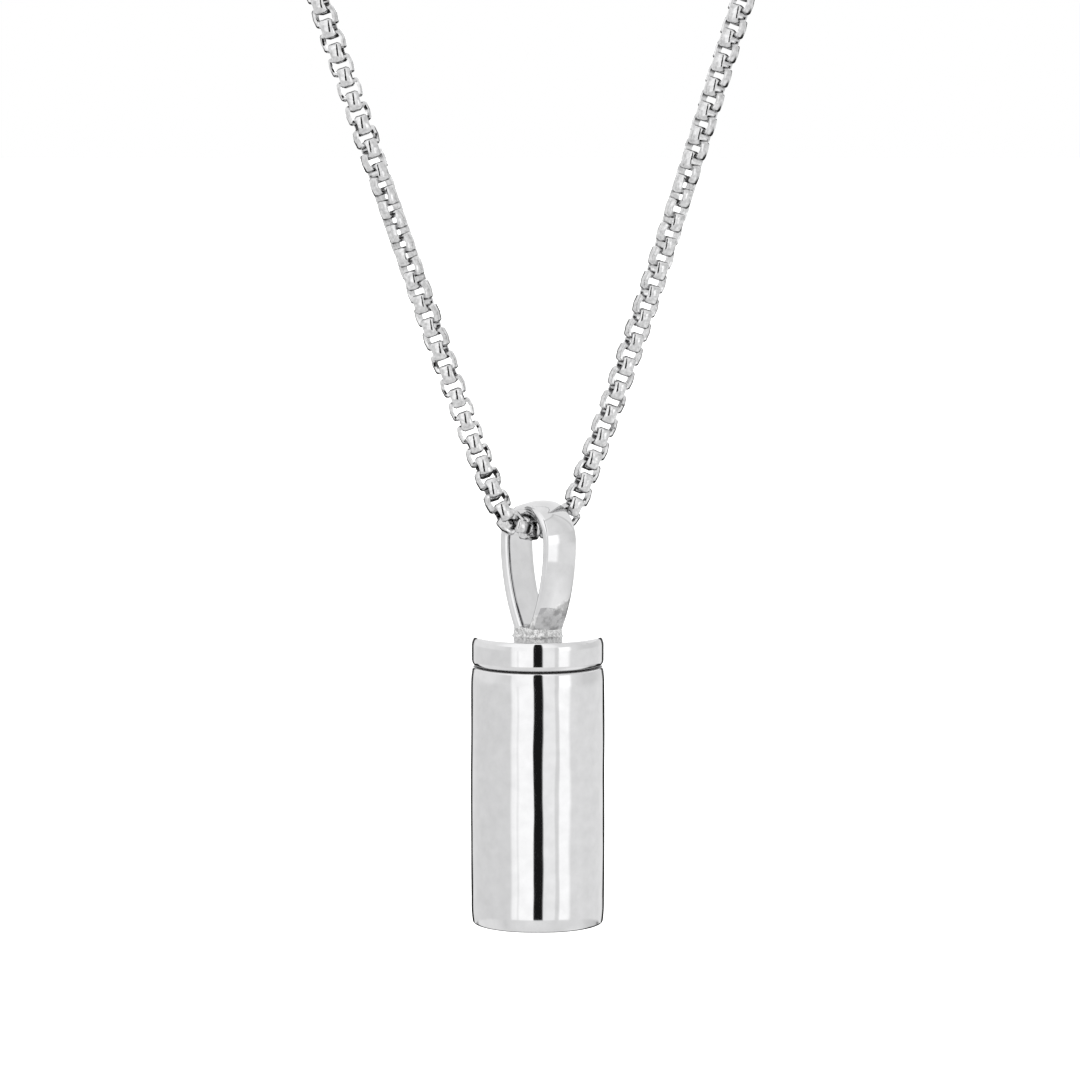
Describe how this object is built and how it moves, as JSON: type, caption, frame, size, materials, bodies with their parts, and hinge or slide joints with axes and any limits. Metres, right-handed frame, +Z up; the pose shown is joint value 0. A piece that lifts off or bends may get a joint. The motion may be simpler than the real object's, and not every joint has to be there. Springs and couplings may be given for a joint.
{
  "type": "keepsake urn pendant necklace",
  "caption": "Polished steel cylinder urn pendant with a screw cap and a ribbon bail, hanging on a rounded box chain with a clasp at the nape.",
  "frame": {"origin": "middle of the clasp at the nape, where the necklace sits on the back of the neck", "axes": "+Z up, the front of the necklace faces -Y, +X to the viewer's right"},
  "size_m": [0.1092, 0.1199, 0.2231],
  "materials": {
    "polished_steel": "mirror polished stainless steel",
    "chain_steel": "polished stainless steel"
  },
  "bodies": {
    "necklace": {"chain": "chain_steel", "clasp": "chain_steel"},
    "cap": {"bail_cap": "polished_steel"},
    "urn": {"chamber": "polished_steel"}
  },
  "joints": [
    {"name": "pendant_swing", "type": "hinge", "parent": "necklace", "child": "cap", "pos_m": [0, -0.112, -0.185], "axis": [0.766, 0.6428, 0], "range_deg": [-75, 75]},
    {"name": "chamber_draw", "type": "slide", "parent": "cap", "child": "urn", "axis": [0, 0, -1], "range_m": [0, 0.015]}
  ]
}
